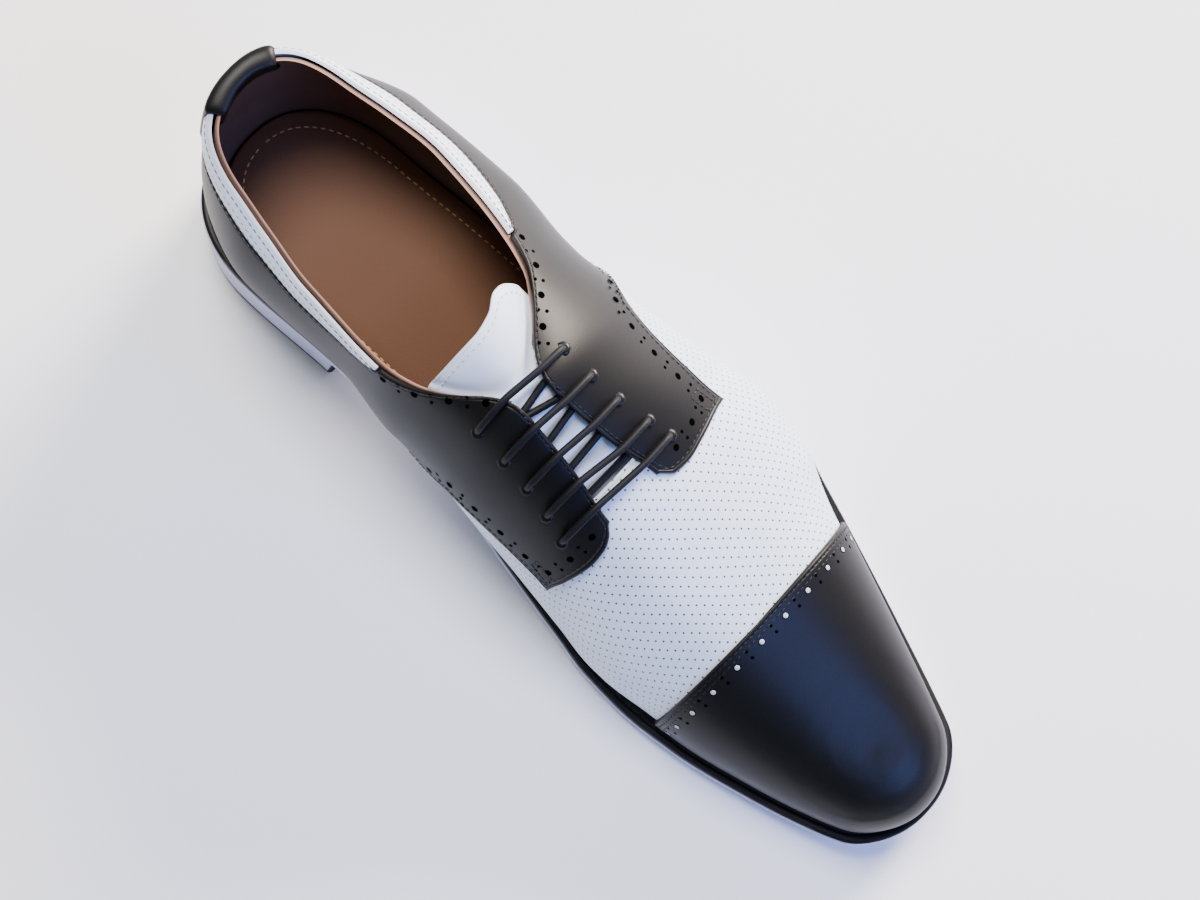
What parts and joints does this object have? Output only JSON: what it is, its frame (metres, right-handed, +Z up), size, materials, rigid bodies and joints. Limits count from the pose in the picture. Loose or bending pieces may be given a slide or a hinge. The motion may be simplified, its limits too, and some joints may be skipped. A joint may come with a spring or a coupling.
{
  "type": "cap toe derby shoe",
  "caption": "Low lace-up dress shoe with an open-laced quarter over a perforated vamp, a separate toe cap, a collar band, a welted sole and a stacked heel.",
  "frame": {"origin": "on the floor plane, under the middle of the sole's box", "axes": "+Z up, +Y towards the heel, -Y towards the toe, +X towards the lateral (outer) side of the left foot"},
  "size_m": [0.1044, 0.3056, 0.0971],
  "materials": {
    "white_sole_edge": "smooth painted sole edge",
    "black_rubber": "satin",
    "tan_sock": "worn, matt",
    "white_calf": "smooth, satin",
    "black_calf": "smooth, polished",
    "black_cord": "waxed round cord"
  },
  "bodies": {
    "root": {"outsole": "white_sole_edge", "heel_block": "white_sole_edge", "top_lift": "black_rubber", "welt": "black_rubber", "insole": "tan_sock", "upper": "white_calf", "toe_cap": "black_calf", "quarter_lateral": "black_calf", "quarter_medial": "black_calf", "collar_band": "white_calf", "heel_tab": "black_calf", "tongue": "white_calf", "lace": "black_cord"}
  },
  "joints": []
}
